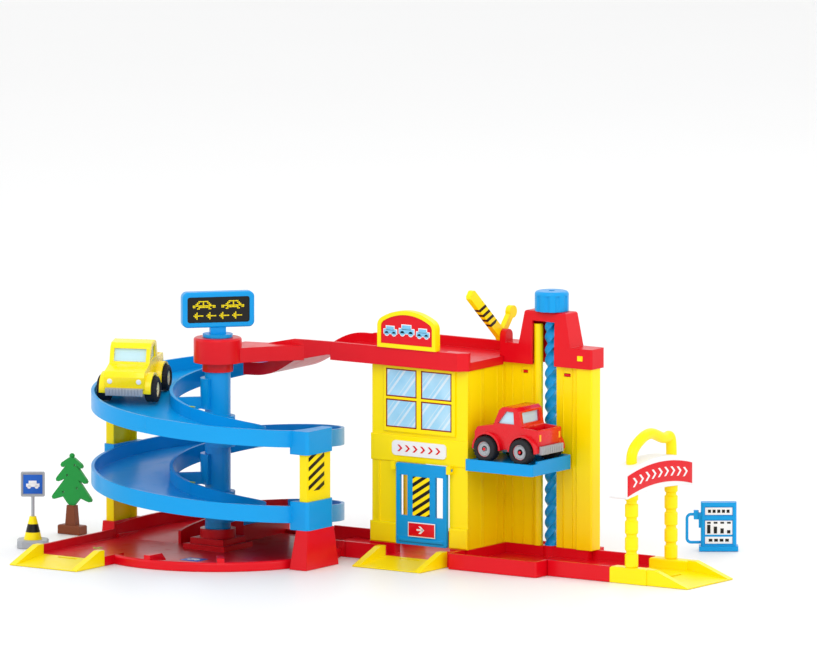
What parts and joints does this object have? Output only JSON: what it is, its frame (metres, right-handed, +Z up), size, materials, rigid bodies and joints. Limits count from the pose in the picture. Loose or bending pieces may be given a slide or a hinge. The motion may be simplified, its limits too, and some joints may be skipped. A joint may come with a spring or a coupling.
{
  "type": "toy parking garage with lift",
  "caption": "Toy parking garage with a screw-driven car lift, roof deck, bridge, spiral track down, swinging door, barrier, gate, loose trucks and roadside pieces.",
  "frame": {"origin": "on the table, on the axis of the spiral column, at the middle of the flat foot under it", "axes": "+X along the building front towards the gate, +Y to the back, +Z up"},
  "size_m": [0.89, 0.5949, 0.3296],
  "materials": {
    "red_plastic": "glossy moulded red",
    "yellow_plastic": "glossy moulded yellow",
    "blue_plastic": "glossy moulded blue",
    "window_print": "light blue glossy",
    "white_plastic": "glossy white",
    "black_print": "black print",
    "steel": "zinc plated",
    "grey_plastic": "grey moulded",
    "wheel_rim": "off-white moulded",
    "tyre_rubber": "black soft rubber",
    "green_plastic": "glossy green",
    "brown_plastic": "brown moulded"
  },
  "bodies": {
    "garage": {"spiral_base": "red_plastic", "exit_ramp": "yellow_plastic", "front_ramp": "yellow_plastic", "building_base": "red_plastic", "lift_tray": "red_plastic", "right_track": "red_plastic", "gate_base": "yellow_plastic", "front_wall": "yellow_plastic", "left_wall": "yellow_plastic", "right_wall": "yellow_plastic", "tower_wall": "yellow_plastic", "window_panel": "yellow_plastic", "window_panes": "window_print", "name_plate": "white_plastic", "roof_deck": "red_plastic", "bridge": "red_plastic", "tower_head": "red_plastic", "spiral_columns": "blue_plastic", "track_upper_left": "blue_plastic", "track_upper_right": "blue_plastic", "track_lower_left": "blue_plastic", "track_lower_right": "blue_plastic", "track_pillars": "yellow_plastic", "gate_frame": "yellow_plastic", "gate_board": "white_plastic", "arch_sign": "yellow_plastic", "arch_panel": "red_plastic"},
    "lift_knob_and_screw": {"lift_knob": "blue_plastic", "lift_screw": "blue_plastic", "knob_screw": "steel"},
    "lift_platform_body": {"lift_platform": "blue_plastic", "lift_nut": "blue_plastic"},
    "barrier": {"barrier_arm": "yellow_plastic"},
    "door": {"door_flap": "blue_plastic", "door_panel": "yellow_plastic"},
    "exit_sign_body": {"exit_sign": "blue_plastic", "exit_sign_panel": "black_print"},
    "tree": {"tree_foliage": "green_plastic", "tree_stand": "brown_plastic"},
    "cone_sign_body": {"cone_base": "grey_plastic", "cone_body": "yellow_plastic", "cone_sign": "grey_plastic"},
    "pump": {"fuel_pump": "blue_plastic", "pump_hose": "blue_plastic"},
    "red_truck": {"red_truck_body": "red_plastic", "red_truck_windows": "window_print", "red_truck_chassis": "grey_plastic", "red_truck_screws": "steel"},
    "red_truck_front_wheels": {"red_truck_front_rims": "wheel_rim", "red_truck_front_tyres": "tyre_rubber"},
    "red_truck_rear_wheels": {"red_truck_rear_rims": "wheel_rim", "red_truck_rear_tyres": "tyre_rubber"},
    "yellow_truck": {"yellow_truck_body": "yellow_plastic", "yellow_truck_windows": "window_print", "yellow_truck_chassis": "grey_plastic", "yellow_truck_screws": "steel"},
    "yellow_truck_front_wheels": {"yellow_truck_front_rims": "wheel_rim", "yellow_truck_front_tyres": "tyre_rubber"},
    "yellow_truck_rear_wheels": {"yellow_truck_rear_rims": "wheel_rim", "yellow_truck_rear_tyres": "tyre_rubber"}
  },
  "joints": [
    {"name": "knob_turn", "type": "hinge", "parent": "garage", "child": "lift_knob_and_screw", "pos_m": [0.368, 0.17, 0.315], "axis": [0, 0, 1], "range_deg": [-746, 688]},
    {"name": "lift_travel", "type": "slide", "parent": "garage", "child": "lift_platform_body", "axis": [0, 0, 1], "range_m": [-0.107, 0.116]},
    {"name": "barrier_swing", "type": "hinge", "parent": "garage", "child": "barrier", "pos_m": [0.298, 0.165, 0.269], "axis": [1, 0, 0], "range_deg": [-45, 40.6]},
    {"name": "door_swing", "type": "hinge", "parent": "garage", "child": "door", "pos_m": [0.242, 0.08, 0.114], "axis": [1, 0, 0], "range_deg": [-75, 70]},
    {"name": "sign_turn", "type": "hinge", "parent": "garage", "child": "exit_sign_body", "pos_m": [0, 0, 0.262], "axis": [0, 0, 1], "continuous": true},
    {"name": "red_truck_lift_off", "type": "slide", "parent": "lift_platform_body", "child": "red_truck", "axis": [0, 0, 1], "range_m": [0, 0.05]},
    {"name": "yellow_truck_lift_off", "type": "slide", "parent": "garage", "child": "yellow_truck", "axis": [0, 0, 1], "range_m": [0, 0.05]},
    {"name": "tree_lift_off", "type": "slide", "parent": "garage", "child": "tree", "axis": [0, 0, 1], "range_m": [0, 0.05]},
    {"name": "cone_sign_lift_off", "type": "slide", "parent": "garage", "child": "cone_sign_body", "axis": [0, 0, 1], "range_m": [0, 0.05]},
    {"name": "pump_lift_off", "type": "slide", "parent": "garage", "child": "pump", "axis": [0, 0, 1], "range_m": [0, 0.05]},
    {"name": "red_front_wheels_spin", "type": "hinge", "parent": "red_truck", "child": "red_truck_front_wheels", "pos_m": [0.3335, 0.112, 0.1443], "axis": [0, 1, 0], "continuous": true},
    {"name": "red_rear_wheels_spin", "type": "hinge", "parent": "red_truck", "child": "red_truck_rear_wheels", "pos_m": [0.3845, 0.112, 0.1443], "axis": [0, 1, 0], "continuous": true},
    {"name": "yellow_front_wheels_spin", "type": "hinge", "parent": "yellow_truck", "child": "yellow_truck_front_wheels", "pos_m": [-0.08744, -0.06092, 0.20013], "axis": [0.9397, 0.342, 0], "continuous": true},
    {"name": "yellow_rear_wheels_spin", "type": "hinge", "parent": "yellow_truck", "child": "yellow_truck_rear_wheels", "pos_m": [-0.10471, -0.01347, 0.20725], "axis": [0.9397, 0.342, 0], "continuous": true}
  ],
  "couplings": [
    {"joint": "knob_turn", "follows": "lift_travel", "rad_per_m": -112.2}
  ]
}
